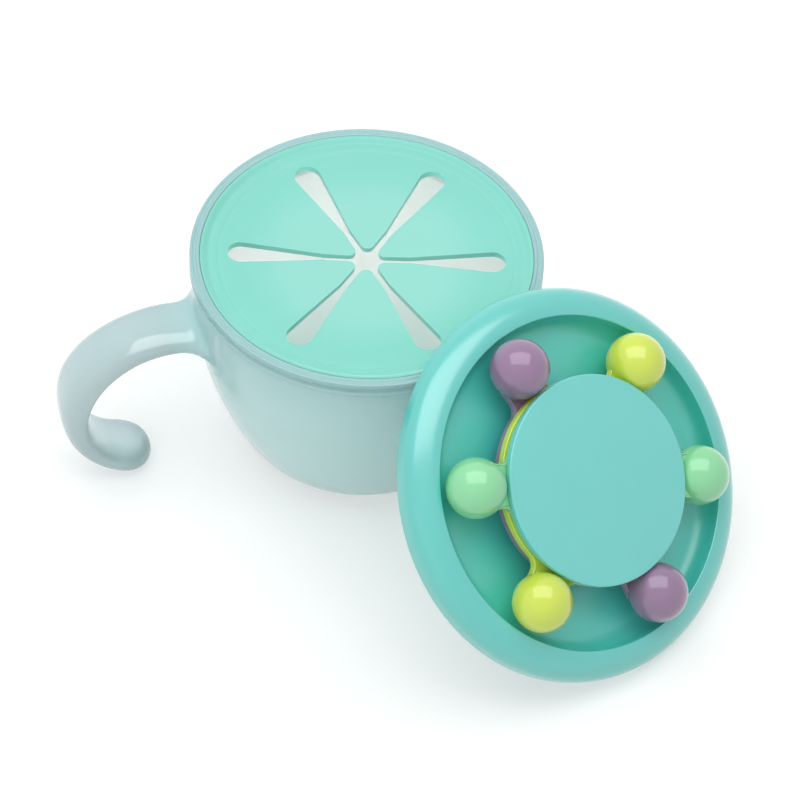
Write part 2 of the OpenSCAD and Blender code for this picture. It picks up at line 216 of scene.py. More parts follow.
# The photograph's camera, fitted to the circles that it shows
PHOTO_PLACE = Vector((-0.230384, -0.849901, 0.996016))
PHOTO_RIGHT = Vector((0.97125, -0.2354, 0.0354))
PHOTO_UP = Vector((0.15301, 0.73126, 0.66472))
PHOTO_LENS = 208.28


def srgb(r, g, b):
    """A colour given as 0 to 255 screen values, in linear light."""
    out = []
    for v in (r, g, b):
        v /= 255
        out.append(v / 12.92 if v <= 0.04045 else ((v + 0.055) / 1.055) ** 2.4)
    return (*out, 1.0)


def arc(cx, cz, r, a0, a1, n):
    """Points of an arc about (cx, cz), from angle a0 to a1 in degrees."""
    return [
        (
            cx + r * math.cos(math.radians(a0 + (a1 - a0) * i / n)),
            cz + r * math.sin(math.radians(a0 + (a1 - a0) * i / n)),
        )
        for i in range(n + 1)
    ]


def rounded(corners, closed=False, steps=4):
    """A line through (x, z, radius) corners, each corner rounded to its radius."""
    out = []
    n = len(corners)
    for i, (x, z, r) in enumerate(corners):
        here = Vector((x, z))
        if r <= 0 or (not closed and i in (0, n - 1)):
            out.append((x, z))
            continue
        before = Vector(corners[i - 1][:2]) - here
        after = Vector(corners[(i + 1) % n][:2]) - here
        half = before.angle(after) / 2
        reach = min(r / math.tan(half), before.length * 0.49, after.length * 0.49)
        r = reach * math.tan(half)
        start = here + before.normalized() * reach
        end = here + after.normalized() * reach
        middle = here + (before.normalized() + after.normalized()).normalized() * (r / math.sin(half))
        a, b = start - middle, end - middle
        turn = a.angle(b)
        if turn < 1e-5:
            out.append(tuple(start))
            continue
        for k in range(steps + 1):
            t = k / steps
            p = middle + (a * math.sin((1 - t) * turn) + b * math.sin(t * turn)) / math.sin(turn)
            out.append(tuple(p))
    return out


def circle(r, z, steps):
    """Points of a level circle about Z."""
    turns = [2 * math.pi * k / steps for k in range(steps)]
    return [(r * math.cos(a), r * math.sin(a), z) for a in turns]


def turned(x, y, a):
    """A level point turned about the origin by an angle in radians."""
    return x * math.cos(a) - y * math.sin(a), x * math.sin(a) + y * math.cos(a)


def eased(t):
    """A share from 0 to 1, kept in that range and eased at both ends."""
    t = min(1.0, max(0.0, t))
    return t * t * (3 - 2 * t)


def in_scene(name, data):
    """A new object of the scene, made from its mesh, lamp or camera."""
    obj = bpy.data.objects.new(name, data)
    bpy.context.scene.collection.objects.link(obj)
    return obj


def new_object(name, bm, matrix=None):
    """A smooth object from a bmesh in millimetres, placed in the row's frame."""
    bmesh.ops.recalc_face_normals(bm, faces=bm.faces)
    for f in bm.faces:
        f.smooth = True
    place = Matrix.Scale(MM, 4) @ (matrix or Matrix.Identity(4))
    bmesh.ops.transform(bm, matrix=place, verts=bm.verts)
    mesh = bpy.data.meshes.new(name)
    bm.to_mesh(mesh)
    bm.free()
    return in_scene(name, mesh)


def finished(obj):
    """Applies an object's modifiers, so that its mesh is final."""
    depsgraph = bpy.context.evaluated_depsgraph_get()
    mesh = bpy.data.meshes.new_from_object(obj.evaluated_get(depsgraph))
    obj.modifiers.clear()
    obj.data = mesh
    return obj


def even_normals(obj):
    """Keeps flat faces flat in the shading where they meet small roundings and sharp edges."""
    obj.data.set_sharp_from_angle(angle=CREASE)
    mod = obj.modifiers.new("normals", "WEIGHTED_NORMAL")
    mod.mode = "FACE_AREA"
    mod.weight = 80
    mod.keep_sharp = True
    return finished(obj)


def soft_edged(obj, width, limit, **settings):
    """Rounds the edges that a bevel's limit picks, by a width in millimetres."""
    mod = obj.modifiers.new("soft_edges", "BEVEL")
    mod.limit_method = limit
    mod.width = width * MM
    mod.segments = 3
    for name, value in settings.items():
        setattr(mod, name, value)
    return even_normals(finished(obj))


def skin_between(bm, a, b, closed=True):
    """Faces between two lines of vertices, one of which may be a single point."""
    n = max(len(a), len(b))
    for k in range(n if closed else n - 1):
        m = (k + 1) % n
        if len(a) == 1:
            bm.faces.new((a[0], b[m], b[k]))
        elif len(b) == 1:
            bm.faces.new((a[k], a[m], b[0]))
        else:
            bm.faces.new((a[k], a[m], b[m], b[k]))


def revolve(name, profile, steps=256, matrix=None, closed=False):
    """A body of revolution about Z from (radius, height) points."""
    bm = bmesh.new()
    rings = []
    for r, z in profile:
        points = circle(r, z, steps) if r >= 1e-4 else [(0, 0, z)]
        rings.append([bm.verts.new(p) for p in points])
    lines = rings + rings[:1] if closed else rings
    for a, b in zip(lines, lines[1:]):
        skin_between(bm, a, b)
    return even_normals(new_object(name, bm, matrix))


# Parts of the node materials, all in the object's own coordinates
def own_place(nodes):
    """The place of a shaded point."""
    return nodes.new("ShaderNodeTexCoord").outputs["Object"]


def noise(nodes, links, scale, detail):
    """Soft noise, from 0 to 1."""
    made = nodes.new("ShaderNodeTexNoise")
    made.inputs["Scale"].default_value = scale
    made.inputs["Detail"].default_value = detail
    links.new(own_place(nodes), made.inputs["Vector"])
    return made.outputs["Fac"]


def from_axis(nodes, links):
    """Distance from the Z axis."""
    flat = nodes.new("ShaderNodeVectorMath")
    flat.operation = "MULTIPLY"
    flat.inputs[1].default_value = (1, 1, 0)
    links.new(own_place(nodes), flat.inputs[0])
    reach = nodes.new("ShaderNodeVectorMath")
    reach.operation = "LENGTH"
    links.new(flat.outputs["Vector"], reach.inputs[0])
    return reach.outputs["Value"]


def map_range(nodes, links, value, results, limits=(0.0, 1.0), eased_ends=False):
    """Reads a value between two limits as a value between two results."""
    made = nodes.new("ShaderNodeMapRange")
    made.interpolation_type = "SMOOTHSTEP" if eased_ends else "LINEAR"
    for end, (least, most) in (("From", limits), ("To", results)):
        made.inputs[f"{end} Min"].default_value = least
        made.inputs[f"{end} Max"].default_value = most
    links.new(value, made.inputs["Value"])
    return made.outputs["Result"]


def toward(nodes, links, base, colour, share):
    """A base colour mixed with another one by a share."""
    blend = nodes.new("ShaderNodeMix")
    blend.data_type = "RGBA"
    blend.inputs["B"].default_value = colour
    links.new(share, blend.inputs["Factor"])
    links.new(base, blend.inputs["A"])
    return blend.outputs["Result"]


def plastic(
    name,
    colour,
    roughness=0.35,
    mottle=0.03,
    bump=0.02,
    coat=0.0,
    coat_rough=0.1,
    coat_ior=1.5,
    specular=0.5,
    shade=None,
):
    """Moulded plastic: a base colour with faint mottling, uneven gloss and a fine skin from the mould. A
    shade function, where given, paints light or shade onto the colour.
    """
    mat = bpy.data.materials.new(name)
    mat.use_nodes = True
    nodes, links = mat.node_tree.nodes, mat.node_tree.links
    bsdf = nodes["Principled BSDF"]
    broad = noise(nodes, links, MOTTLE, 3.0)

    tint = nodes.new("ShaderNodeValToRGB")
    low, high = tint.color_ramp.elements
    low.position, high.position = 0.3, 0.7
    low.color = (*(c * (1 - mottle) for c in colour[:3]), 1.0)
    high.color = (*(min(1.0, c * (1 + mottle)) for c in colour[:3]), 1.0)
    links.new(broad, tint.inputs["Fac"])
    base = tint.outputs["Color"]
    if shade:
        base = shade(nodes, links, base)
    links.new(base, bsdf.inputs["Base Color"])

    gloss = map_range(nodes, links, broad, (roughness * 0.9, roughness * 1.12))
    links.new(gloss, bsdf.inputs["Roughness"])

    skin = nodes.new("ShaderNodeBump")
    skin.inputs["Strength"].default_value = bump
    skin.inputs["Distance"].default_value = GRAIN_DEPTH
    links.new(noise(nodes, links, GRAIN, 2.0), skin.inputs["Height"])
    links.new(skin.outputs["Normal"], bsdf.inputs["Normal"])

    bsdf.inputs["Coat Weight"].default_value = coat
    bsdf.inputs["Coat Roughness"].default_value = coat_rough
    bsdf.inputs["Coat IOR"].default_value = coat_ior
    bsdf.inputs["Specular IOR Level"].default_value = specular
    return mat


def frosted(name, colour, glow_colour, through, sheen_rough, ior=1.46, **look):
    """Cloudy plastic: light passes through its wall, under a satin face."""
    mat = plastic(name, colour, specular=0.0, **look)
    nodes, links = mat.node_tree.nodes, mat.node_tree.links
    bsdf = nodes["Principled BSDF"]
    glow = nodes.new("ShaderNodeBsdfTranslucent")
    glow.inputs["Color"].default_value = glow_colour
    links.new(bsdf.inputs["Normal"].links[0].from_socket, glow.inputs["Normal"])
    wall = nodes.new("ShaderNodeMixShader")
    wall.name = "wall"
    wall.inputs["Fac"].default_value = through
    links.new(bsdf.outputs[0], wall.inputs[1])
    links.new(glow.outputs[0], wall.inputs[2])
    satin = nodes.new("ShaderNodeBsdfGlossy")
    satin.inputs["Color"].default_value = (1, 1, 1, 1)
    satin.inputs["Roughness"].default_value = sheen_rough
    edge_on = nodes.new("ShaderNodeFresnel")
    edge_on.inputs["IOR"].default_value = ior
    whole = nodes.new("ShaderNodeMixShader")
    links.new(edge_on.outputs[0], whole.inputs["Fac"])
    links.new(wall.outputs[0], whole.inputs[1])
    links.new(satin.outputs[0], whole.inputs[2])
    links.new(whole.outputs[0], nodes["Material Output"].inputs["Surface"])
    return mat


def painted_glow_middle(nodes, links, base):
    """Paints light onto a colour toward the object's own axis, where the soft sheet is thinner: a painted
    glow in the cover's middle, for light from inside the cup that shows through the sheet.
    """
    share = map_range(nodes, links, from_axis(nodes, links), (PAINTED_GLOW_SHARE, 0.0), PAINTED_GLOW_SPAN, True)
    return toward(nodes, links, base, srgb(184, 234, 226), share)


def painted_floor_shade(nodes, links, base):
    """Paints shade onto the cup's inner floor: a cooler, darker colour than on its wall, fading upward."""
    parts = nodes.new("ShaderNodeSeparateXYZ")
    links.new(own_place(nodes), parts.inputs[0])
    share = map_range(nodes, links, parts.outputs["Z"], (1.0, 0.0), FLOOR_SHADE_SPAN, True)
    return toward(nodes, links, base, srgb(216, 236, 234), share)


def denser_root(mat):
    """Lets less light through where the handle's root lies on the cup's wall than further out."""
    nodes, links = mat.node_tree.nodes, mat.node_tree.links
    through = (ROOT_THROUGH, HANDLE_THROUGH)
    share = map_range(nodes, links, from_axis(nodes, links), through, ROOT_SPAN, True)
    links.new(share, nodes["wall"].inputs["Fac"])


def dress(obj, mat, body, slot, *nodes):
    """Gives a piece its material and its body, and hides the solids that it stands for. Its slot is not
    used.
    """
    obj.data.materials.clear()
    obj.data.materials.append(mat)
    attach(obj, body)
    if nodes:
        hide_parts(*nodes)
    return obj


def dress_inside(obj, mat, inside, axes=None):
    """Gives a second material to the faces whose radius and height pass a test."""
    obj.data.materials.append(mat)
    to_axes = axes.inverted() if axes else Matrix.Identity(4)
    for face in obj.data.polygons:
        x, y, z = to_axes @ (face.center / MM)
        face.material_index = int(inside(math.hypot(x, y), z))


clear_look = {"mottle": 0.012, "bump": 0.01}
frost = frosted("frosted_blue", srgb(197, 250, 251), srgb(247, 255, 255), 0.55, 0.16, 1.4, **clear_look)
# A whiter, warmer copy of the cloudy plastic for the faces inside the cup and the trap ring's skirt:
# painted light, for the bright light inside the cup, with painted shade on the floor
frost_lit_inside = frosted(
    "frosted_inside_lit",
    srgb(253, 250, 248),
    srgb(255, 253, 252),
    0.4,
    0.3,
    mottle=0.01,
    bump=0.01,
    shade=painted_floor_shade,
)
frost_handle = frosted(
    "frosted_handle", srgb(202, 253, 255), srgb(252, 253, 255), HANDLE_THROUGH, 0.09, 1.9, **clear_look
)
denser_root(frost_handle)
ring_mat = frosted("ring_blue", srgb(176, 220, 221), srgb(216, 244, 244), 0.32, 0.16, 1.5, **clear_look)
# The soft mint cover, with painted light in its middle
soft_mint = frosted(
    "soft_mint",
    srgb(136, 219, 205),
    srgb(150, 232, 214),
    0.12,
    0.42,
    mottle=0.015,
    bump=0.04,
    shade=painted_glow_middle,
)
turquoise = plastic(
    "turquoise", srgb(72, 195, 187), 0.33, 0.015, 0.03, coat=1.0, coat_rough=0.22, coat_ior=1.88
)
# The trough's faces: the same turquoise under a weaker, rougher coat, with a brighter, more saturated
# colour that is painted light bounced about the trough
turquoise_trough = plastic(
    "turquoise_trough", srgb(78, 207, 196), 0.38, 0.015, 0.03, coat=0.8, coat_rough=0.3, coat_ior=1.65
)
# The cap: the same turquoise, paler and under a softer coat; the paler colour is a painted sheen on the
# cap's face
turquoise_cap = plastic("turquoise_cap", srgb(113, 208, 202), 0.36, 0.02, 0.03, coat=0.8, coat_rough=0.3)
purple, lime, bead_mint = (
    plastic(name, colour, 0.14, 0.02, 0.01, coat=0.7, coat_rough=0.09)
    for name, colour in (
        ("bead_purple", srgb(146, 116, 150)),
        ("bead_lime", srgb(207, 225, 77)),
        ("bead_mint", srgb(138, 217, 160)),
    )
)


# The cup: wall, floor and collar in one turn about Z
BASE_R = SIDE_X + math.sqrt((SIDE_R - BASE_ROUND) ** 2 - (SIDE_Z - BASE_ROUND) ** 2)
BASE_TURN = math.degrees(math.atan2(BASE_ROUND - SIDE_Z, BASE_R - SIDE_X))


def side(inset, z_top, n=30):
    """The cup's side at a distance inside its outer face, from the base's middle up."""
    r = SIDE_R - inset
    top_turn = math.degrees(math.asin((z_top - SIDE_Z) / r))
    return (
        [(0, inset), (BASE_R * 0.5, inset)]
        + arc(BASE_R, BASE_ROUND, BASE_ROUND - inset, -90, BASE_TURN, 10)
        + arc(SIDE_X, SIDE_Z, r, BASE_TURN, top_turn, n)[1:]
    )


def side_r(z, inset=0.0):
    """The side's radius at a height, at a distance inside its outer face."""
    return SIDE_X + math.sqrt((SIDE_R - inset) ** 2 - (z - SIDE_Z) ** 2)


collar_z = COLLAR_TOP - COLLAR_T
collar_from = collar_z - COLLAR_LEAD
mouth_z = COLLAR_TOP - MOUTH_DEPTH
mouth_from = mouth_z - MOUTH_LEAD
collar = rounded(
    [
        (side_r(collar_from), collar_from, 0),
        (side_r(collar_z) - 0.05, collar_z - 0.25, 0.3),
        (RING_R - 1.15, collar_z + 0.1, 0.12),
        (RING_R - 0.45, collar_z + 0.15, 0.25),
        (RING_R, collar_z + 0.7, 0.4),
        (RING_R, COLLAR_TOP, 0.45),
        (MOUTH_R, COLLAR_TOP, 0.4),
        (MOUTH_R, mouth_z, 0.4),
        (side_r(mouth_from, WALL), mouth_from, 0),
    ]
)
cup_profile = side(0, collar_from) + collar[1:-1] + side(WALL, mouth_from)[::-1]
cup_body = revolve("cup_body", cup_profile)
dress(cup_body, frost, "cup", "frosted_blue", "cup")
# The cup's inner faces take the whiter copy: painted light inside the cup
dress_inside(
    cup_body,
    frost_lit_inside,
    lambda r, z: WALL / 2 < z < COLLAR_TOP - MOUTH_LIP and r < side_r(z) - WALL / 2,
)


# The handle: a straight root and two bends, swept with a soft oblong section
def spine(s):
    """Distance out, height and heading of the handle's spine at a length along it."""
    if s < ROOT:
        return START + s * math.cos(RISE), HANDLE_Z + s * math.sin(RISE), RISE
    x, z = START + ROOT * math.cos(RISE), HANDLE_Z + ROOT * math.sin(RISE)
    r, sweep = BEND_1
    cx, cz = x + r * math.sin(RISE), z - r * math.cos(RISE)
    length = r * sweep
    if s < ROOT + length:
        h = RISE - sweep * (s - ROOT) / length
        return cx - r * math.sin(h), cz + r * math.cos(h), h
    h1 = RISE - sweep
    x, z = cx - r * math.sin(h1), cz + r * math.cos(h1)
    r2, sweep2 = BEND_2
    cx, cz = x + r2 * math.sin(h1), z - r2 * math.cos(h1)
    h = h1 - sweep2 * (s - ROOT - length) / (r2 * sweep2)
    return cx - r2 * math.sin(h), cz + r2 * math.cos(h), h


def half_width(s):
    """Half the handle's width at a length along its spine, eased between its stations."""
    u = s / SPINE_L
    for (u0, w0), (u1, w1) in zip(WIDTHS, WIDTHS[1:]):
        if u <= u1:
            return (w0 + (w1 - w0) * eased((u - u0) / (u1 - u0))) / 2
    return TIP_W / 2


def soften(v, power):
    """A power of a value from -1 to 1 that keeps its sign."""
    return math.copysign(abs(v) ** power, v)


def taper(left, reach):
    """Share of a full size that is left near a round end, at a distance from that end."""
    return math.sqrt(max(0.0, 1 - (1 - left / reach) ** 2)) if left < reach else 1.0


def handle_section(s, k, count):
    """A point of the handle's skin, at a length along the spine and a step round the section."""
    left = SPINE_L - s
    w = half_width(s) * taper(left, TIP_W / 2)
    t = HANDLE_T / 2 * taper(left, HANDLE_T / 2)
    a = 2 * math.pi * k / count
    across = w * soften(math.cos(a), SECTION_POWER)
    up = t * soften(math.sin(a), OUTER_POWER if math.sin(a) > 0 else SECTION_POWER)
    if up > 0:
        up *= 1 + 2 * CROWN / HANDLE_T * math.exp(-(((s / SPINE_L - CROWN_AT) / CROWN_SPREAD) ** 2))
    x, z, h = spine(s)
    return Vector((-(x - up * math.sin(h)), across, z + up * math.cos(h)))


def on_side(y, z):
    """The point of the cup's outer face on the handle's side at a width and a height."""
    r = side_r(z)
    return Vector((-math.sqrt(r * r - y * y), y, z))


def root_corner(skin, out):
    """The point where the root's skin meets the cup's face, found back along the root by halving."""
    outside, within = -2.0, 12.0
    for _ in range(40):
        middle = (outside + within) / 2
        p = skin - out * middle
        if math.hypot(p.x, p.y) > side_r(p.z):
            outside = middle
        else:
            within = middle
    return skin - out * outside


def root_rings(count, steps=9):
    """Rings of the flared root: one sunk in the cup's face, then a curve that leaves it along the root."""
    out = Vector((-math.cos(RISE), 0, math.sin(RISE)))
    sunk, curves = [], []
    for k in range(count):
        corner = root_corner(handle_section(FLARE_FROM, k, count), out)
        a = 2 * math.pi * k / count
        flare = FLARE + FLARE_ASIDE * math.cos(a) ** 2
        target = corner + Vector((0, math.cos(a), math.sin(a))) * flare
        landing = on_side(target.y, target.z)
        leaving = corner + out * (flare * FLARE_ALONG)
        edge = landing + (landing - corner).normalized() * FLARE_LAP
        edge = on_side(edge.y, edge.z)
        sunk.append(edge - Vector((edge.x, edge.y, 0)).normalized() * FLARE_SUNK)
        curves.append((landing, corner, leaving))
    rings = [sunk]
    for i in range(steps + 1):
        t = i / steps
        rings.append([p * (1 - t) ** 2 + q * (2 * t * (1 - t)) + r * t * t for p, q, r in curves])
    return rings


def make_handle(count=56):
    """Sweeps the section from the flared root to the round tip, in rings of count points."""
    tip_from = SPINE_L - TIP_W / 2
    stations = [SWEEP_FROM + (tip_from - SWEEP_FROM) * i / 64 for i in range(65)]
    stations += [SPINE_L - TIP_W / 2 * (1 - math.sin(math.pi / 2 * i / 14)) for i in range(1, 14)]
    stations += [SPINE_L - 0.02]
    rings = root_rings(count) + [[handle_section(s, k, count) for k in range(count)] for s in stations]
    bm = bmesh.new()
    made = [[bm.verts.new(p) for p in ring] for ring in rings]
    for a, b in zip(made, made[1:]):
        skin_between(bm, a, b)
    bm.faces.new(made[-1])
    bm.faces.new(made[0][::-1])
    return new_object("cup_handle", bm)


dress(make_handle(), frost_handle, "cup", "frosted_blue", "cup")


# The trap ring: skirt, waist, rim and the step that frames the soft cover
seat_z = COLLAR_TOP + RING_GAP
step_r = COVER_R + RING_GAP
ring_profile = rounded(
    [
        (SKIRT_R, mouth_z, 0.3),
        (SKIRT_OUT_R, mouth_z, 0.3),
        (SKIRT_OUT_R, seat_z, 0),
        (WAIST_R, seat_z, 0.1),
        (WAIST_R, RIM_Z, 0.3),
        (RING_R, RIM_Z, 0.25),
        (RING_R, RING_TOP - 0.1, 0.35),
        (RING_R - 0.75, RING_TOP - 0.05, 0.5),
        (RING_R - 1.05, RING_TOP - CHANNEL_DEEP, 0.4),
        (RING_R - 1.55, RING_TOP - CHANNEL_DEEP, 0.4),
        (RING_R - 1.85, RING_TOP, 0.5),
        (step_r, RING_TOP, 0.35),
        (step_r, COVER_Z - 0.3, 0),
        (SHELF_R, COVER_Z - 0.3, 0),
        (SHELF_R, SHELF_Z, 0),
        (SKIRT_R, SHELF_Z, 0.2),
    ],
    closed=True,
)
trap_ring = revolve("trap_ring_dressed", ring_profile, closed=True)
dress(trap_ring, ring_mat, "trap", "ring_blue", "trap_ring")
# The skirt's inner faces take the whiter copy too: painted light where they show through the slots
dress_inside(trap_ring, frost_lit_inside, lambda r, z: r < SKIRT_R + FACE_SHIFT)


# The soft cover: an outer band, and six sectors, one for each petal
def cover_top(r):
    """Height of the cover's upper face at a radius."""
    if r <= COVER_FLAT_R:
        return COVER_Z - COVER_SINK * (1 - r / COVER_FLAT_R)
    if r < FAINT_R:
        return COVER_Z + COVER_RAISE * (r - COVER_FLAT_R) / (FAINT_R - COVER_FLAT_R)
    rise = eased((r - UPTURN[0]) / (UPTURN[1] - UPTURN[0]))
    valley = VALLEY_DEEP * math.exp(-(((r - VALLEY_R) / VALLEY_W) ** 2))
    return COVER_Z + COVER_RAISE - valley + (RING_TOP - COVER_Z - UPTURN_SHORT) * rise


def cover_thick(r):
    """The cover's thickness at a radius: it thins toward its middle."""
    return COVER_MID_T + (COVER_T - COVER_MID_T) * min(1.0, r / COVER_FLAT_R)


band_radii = [COVER_R - 0.35 - 0.32 * i for i in range(14)]
band_profile = (
    [(COVER_R, COVER_Z - 0.2), (COVER_R, RING_TOP - 0.35), (COVER_R - 0.1, RING_TOP - 0.1)]
    + [(r, cover_top(r)) for r in band_radii]
    + [(FAINT_R + 0.3, COVER_Z + 0.04), (FAINT_R, COVER_Z - FAINT_DEEP)]
    + [(FAINT_R, COVER_Z - 1.6), (SHELF_R - 0.15, COVER_Z - 0.95), (SHELF_R - 0.05, COVER_Z - 0.25)]
)
cover_band = revolve("cover_band_dressed", band_profile, 240, closed=True)
dress(cover_band, soft_mint, "trap", "soft_mint", "cover_band")


def straight(a, b, n):
    """Points of a straight line in n steps from a to b, without a itself."""
    return [(a[0] + (b[0] - a[0]) * i / n, a[1] + (b[1] - a[1]) * i / n) for i in range(1, n + 1)]


def sector_edge():
    """One side of a sector, from its tip out to the faint groove, in petal axes."""
    half = math.pi / PETALS
    edge = arc((SLOT_HALF_W + TIP_R) / math.sin(half), 0, TIP_R, 172, 120, 7)
    slope = math.asin((SLOT_END_R - SLOT_HALF_W) / (SLOT_END_AT - SLOT_WIDEN_AT))
    knee = turned(SLOT_WIDEN_AT, -SLOT_HALF_W, half)
    meets = turned(SLOT_END_AT - SLOT_END_R * math.sin(slope), -SLOT_END_R * math.cos(slope), half)
    edge += straight(edge[-1], knee, 6)
    edge += straight(edge[-1], meets, 21)
    cx, cy = turned(SLOT_END_AT, 0, half)
    meets_turn = math.degrees(math.atan2(meets[1] - cy, meets[0] - cx))
    edge += arc(cx, cy, SLOT_END_R, meets_turn, math.degrees(half), 12)[1:]
    return edge + [turned(r, 0, half) for r in ROOT_ROWS]


EDGE = sector_edge()
SLOT_ROWS = len(EDGE) - len(ROOT_ROWS)


def sector_rows(bm, across=28):
    """Vertices of a sector's upper and under face, in rows across it from its tip outwards."""
    top, under = [], []
    for j, (ex, ey) in enumerate(EDGE):
        bent = eased((ex - ROWS_BEND[0]) / (ROWS_BEND[1] - ROWS_BEND[0])) if j < SLOT_ROWS else 1.0
        reach, turn = math.hypot(ex, ey), math.atan2(ey, ex)
        top.append([])
        under.append([])
        for k in range(across + 1):
            u = math.sin(math.pi / 2 * (2 * k / across - 1))
            x = ex + (reach * math.cos(turn * u) - ex) * bent
            y = ey * u + (reach * math.sin(turn * u) - ey * u) * bent
            r = math.hypot(x, y)
            z = cover_top(r)
            if j == len(EDGE) - 1:
                z = COVER_Z - FAINT_DEEP
            elif j == len(EDGE) - 2:
                z -= 0.01
            top[-1].append(bm.verts.new((x, y, z)))
            under[-1].append(bm.verts.new((x, y, z - cover_thick(r))))
    return top, under


def make_sector(i):
    """One sixth of the cover inside the faint groove, a closed sheet with soft slot edges."""
    bm = bmesh.new()
    weight = bm.edges.layers.float.new("bevel_weight_edge")
    top, under = sector_rows(bm)
    for a, b in zip(top, top[1:]):
        skin_between(bm, a, b, closed=False)
    for a, b in zip(under, under[1:]):
        skin_between(bm, b, a, closed=False)
    for k in (0, -1):
        skin_between(bm, [row[k] for row in top], [row[k] for row in under], closed=False)
        skin_between(bm, top[k], under[k], closed=False)
    for rows in (top, under):
        for line in (rows[0], [row[0] for row in rows[:SLOT_ROWS]], [row[-1] for row in rows[:SLOT_ROWS]]):
            for a, b in zip(line, line[1:]):
                bm.edges.get((a, b))[weight] = 1.0
    return soft_edged(new_object(f"cover_petal_{i}", bm), SHEET_SOFT, "WEIGHT")


for i in range(1, PETALS + 1):
    turn = math.radians(SLOT_TURN + (i - 0.5) * 360 / PETALS)
    sector = make_sector(i)
    sector.data.transform(Matrix.Rotation(turn, 4, "Z"))
    sector.data.materials.clear()
    sector.data.materials.append(soft_mint)
    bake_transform(sector)
    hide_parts(f"petal_{i}")


# The lid: a domed ring round the bead trough, with a post in its middle
def dome(inset, n=24):
    """A quarter of the domed ring, at a distance inside its outer face, from its side to its crest."""
    return [
        (
            CREST_R + (LID_R - CREST_R - inset) * math.cos(math.pi / 2 * i / n),
            LID_EDGE + (CREST_H - LID_EDGE - inset) * math.sin(math.pi / 2 * i / n),
        )
        for i in range(n + 1)
    ]


under_z = TROUGH_TOP - TROUGH_T
trough_r = CREST_R - CREST_IN
round_r, round_z = trough_r - TROUGH_ROUND, TROUGH_TOP + TROUGH_ROUND
crest = rounded([(*dome(0)[-2], 0), (CREST_R - 0.2, CREST_H, 0.6), (trough_r, CREST_H - 1.8, 0)], steps=6)
lip = [
    (LIP_R + 1.7, 2.4),
    (LIP_R + 0.1, 1.05),
    (LIP_R, 0.9),
    (LIP_R, 0.35),
    (LIP_R + 0.15, 0.12),
    (LIP_R + 0.4, 0),
]
boss_foot = BOSS_R + BOSS_ROUND
boss_and_post = [
    (BOSS_R, BOSS_Z - BOSS_CUT),
    (BOSS_R - BOSS_CUT, BOSS_Z),
    (POST_R, BOSS_Z),
    (POST_R, CAP_Z - POST_GAP),
    (0, CAP_Z - POST_GAP),
]
shell_profile = (
    [(0, under_z), (20, under_z), (round_r, under_z)]
    + arc(round_r, round_z, TROUGH_ROUND + TROUGH_T, -90, -6, 12)[1:]
    + dome(LID_WALL)[-8:1:-1]
    + lip
    + arc(LID_R - EDGE_ROUND, EDGE_ROUND, EDGE_ROUND, -90, 0, 5)
    + dome(0)[:-1]
    + crest[1:-1]
    + arc(round_r, round_z, TROUGH_ROUND, 0, -90, 12)
    + [(30, TROUGH_TOP), (boss_foot, TROUGH_TOP)]
    + arc(boss_foot, TROUGH_TOP + BOSS_ROUND, BOSS_ROUND, -90, -180, 3)
    + boss_and_post
)
lid_shell = revolve("lid_ring", shell_profile, matrix=LID)
dress(lid_shell, turquoise, "lid", "turquoise", "lid_shell")
# The trough's faces take that copy, with its painted light
dress_inside(lid_shell, turquoise_trough, lambda r, z: r < CREST_R - FACE_SHIFT, LID)

crown_steps = (0.96, 0.85, 0.7, 0.55, 0.4, 0.25, 0.1, 0)
cap_profile = rounded(
    [(0, CAP_Z, 0), (CAP_R, CAP_Z, 0.3), (CAP_R, CAP_Z + CAP_T, 0.45)]
    + [(CAP_R * u, CAP_Z + CAP_T + CAP_CROWN * (1 - u * u), 0) for u in crown_steps],
    steps=5,
)
lid_cap = revolve("lid_cap_plate", cap_profile, matrix=LID)
# The cap takes the paler copy, with its painted sheen
dress(lid_cap, turquoise_cap, "lid", "turquoise", "lid_cap")


# The spinners: plates with two flared arms each, and a ball on every arm
def on_lid(turn, out=0.0, up=0.0):
    """A place on the lid: turned about its post in degrees, then moved out and up."""
    return LID @ Matrix.Rotation(math.radians(turn), 4, "Z") @ Matrix.Translation((out, 0, up))


def quarter_outline(disc_r):
    """A quarter of a plate's outline, from the middle of the arm's end to the plate's side."""
    w, arm_end = ARM_HALF_W, BEAD_ORBIT - ARM_SHORT
    fx, fy = math.sqrt((disc_r + ARM_FILLET) ** 2 - (w + ARM_FILLET) ** 2), w + ARM_FILLET
    arm_turn = math.degrees(math.atan2(fy, fx))
    return (
        [(arm_end, 0), (arm_end, w * 0.5), (arm_end - 0.5, w + 0.75), (arm_end - 1.8, w + 0.35)]
        + arc(fx, fy, ARM_FILLET, -80, -180 + arm_turn, 10)
        + arc(0, 0, disc_r, arm_turn, 90, 22)[1:]
    )


def make_plate(name, level, disc_r, turn):
    """A spinner's plate: its outline and its bore, one above the other, joined all round."""
    quarter = quarter_outline(disc_r)
    right = quarter[1:-1]
    outline = right + [quarter[-1]] + [(-x, y) for x, y in right[::-1]]
    outline += [(-quarter[0][0], 0)] + [(-x, -y) for x, y in right] + [(0, -disc_r)]
    outline += [(x, -y) for x, y in right[::-1]] + [quarter[0]]
    first = math.atan2(outline[0][1], outline[0][0])
    bore = [turned(x, y, first) for x, y, _ in circle(BORE_R, 0, len(outline))]
    low_z, high_z = PLATE_Z[level], PLATE_Z[level] + PLATE_T
    bm = bmesh.new()
    rings = [
        [bm.verts.new((x, y, z)) for x, y in line]
        for line, z in ((outline, low_z), (outline, high_z), (bore, high_z), (bore, low_z))
    ]
    for a, b in zip(rings, rings[1:] + rings[:1]):
        skin_between(bm, a, b)
    plate = new_object(name, bm, on_lid(turn))
    return soft_edged(plate, PLATE_SOFT, "ANGLE", angle_limit=BEVEL_FROM)


